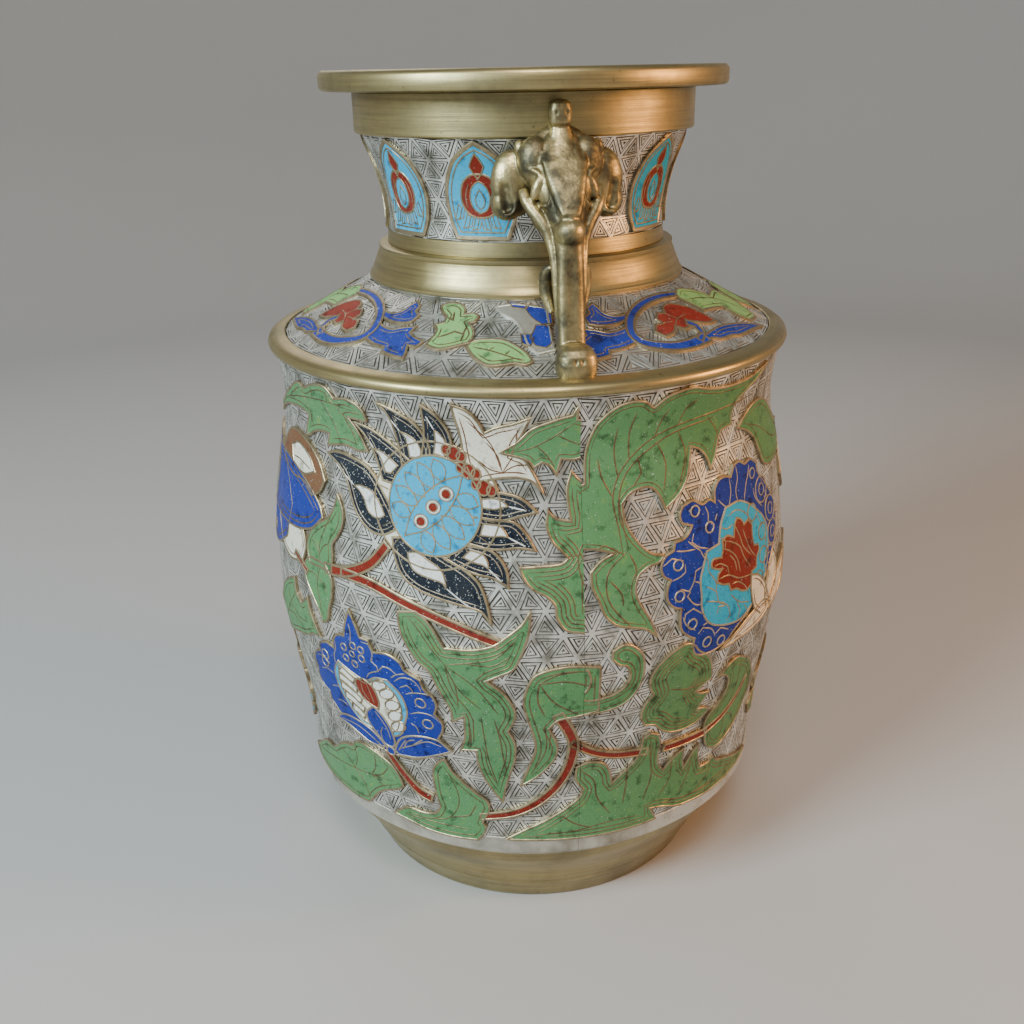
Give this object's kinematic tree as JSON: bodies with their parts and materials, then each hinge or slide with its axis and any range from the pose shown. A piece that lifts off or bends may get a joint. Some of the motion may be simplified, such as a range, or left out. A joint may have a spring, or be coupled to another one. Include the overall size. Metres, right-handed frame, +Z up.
{
  "type": "champleve vase",
  "caption": "Bronze champleve vase with a drum body on a tapered foot, sloping shoulder, waisted neck, flat mouth rim and two elephant head handles",
  "frame": {"origin": "middle of the foot's underside, on the ground", "axes": "+Z up, the two handles on the X axis, the decorated faces toward -Y and +Y"},
  "size_m": [0.201, 0.1986, 0.3],
  "materials": {
    "bronze": "satin bronze with brown patina in the recesses",
    "silvered_bronze": "pale worn ground with dark engraved hatching",
    "turquoise_enamel": "semi-gloss opaque enamel, bright turquoise, with red figures and thin brass lines",
    "cobalt_enamel": "semi-gloss opaque enamel, deep cobalt with red and cream hearts and thin brass lines",
    "green_enamel": "semi-gloss opaque enamel, leaf green, a little pitted, with thin brass veins",
    "black_enamel": "semi-gloss opaque enamel, black with white specks, round a turquoise seed head"
  },
  "bodies": {
    "root": {"acanthus_left": "green_enamel", "acanthus_right": "green_enamel", "back_palmette_left": "cobalt_enamel", "back_palmette_right": "cobalt_enamel", "base_plate": "bronze", "blue_lotus_left": "cobalt_enamel", "blue_lotus_right": "cobalt_enamel", "bottom_acanthus_left": "green_enamel", "bottom_acanthus_right": "green_enamel", "bottom_leaf_tip_left": "green_enamel", "bottom_leaf_tip_right": "green_enamel", "centre_branch_left": "green_enamel", "centre_branch_right": "green_enamel", "curl_left": "green_enamel", "curl_right": "green_enamel", "dark_flower_left": "black_enamel", "dark_flower_right": "black_enamel", "drum_back": "silvered_bronze", "drum_front": "silvered_bronze", "foot_ring": "bronze", "front_palmette_left": "cobalt_enamel", "front_palmette_right": "cobalt_enamel", "handle_left": "bronze", "handle_right": "bronze", "hanging_flower_left": "turquoise_enamel", "hanging_flower_right": "turquoise_enamel", "leaf_branch_left": "green_enamel", "leaf_branch_right": "green_enamel", "lower_leaf_left": "green_enamel", "lower_leaf_right": "green_enamel", "mouth_rim": "bronze", "neck_band": "bronze", "neck_collar": "bronze", "neck_medallion_1": "turquoise_enamel", "neck_medallion_2": "turquoise_enamel", "neck_medallion_3": "turquoise_enamel", "neck_medallion_4": "turquoise_enamel", "neck_medallion_6": "turquoise_enamel", "neck_medallion_7": "turquoise_enamel", "neck_medallion_8": "turquoise_enamel", "neck_medallion_9": "turquoise_enamel", "neck_wall": "silvered_bronze", "round_leaf_left": "green_enamel", "round_leaf_right": "green_enamel", "scalloped_flower_left": "cobalt_enamel", "scalloped_flower_right": "cobalt_enamel", "seam_lobes_left": "green_enamel", "seam_lobes_right": "green_enamel", "shoulder_leaf_left": "green_enamel", "shoulder_leaf_right": "green_enamel", "shoulder_plate": "silvered_bronze", "shoulder_ridge": "bronze", "shoulder_scroll_left": "cobalt_enamel", "shoulder_scroll_right": "cobalt_enamel", "side_bottom_leaf_left": "green_enamel", "side_bottom_leaf_right": "green_enamel", "side_lotus_left": "cobalt_enamel", "side_lotus_right": "cobalt_enamel", "top_leaf_left": "green_enamel", "top_leaf_right": "green_enamel"}
  },
  "joints": []
}
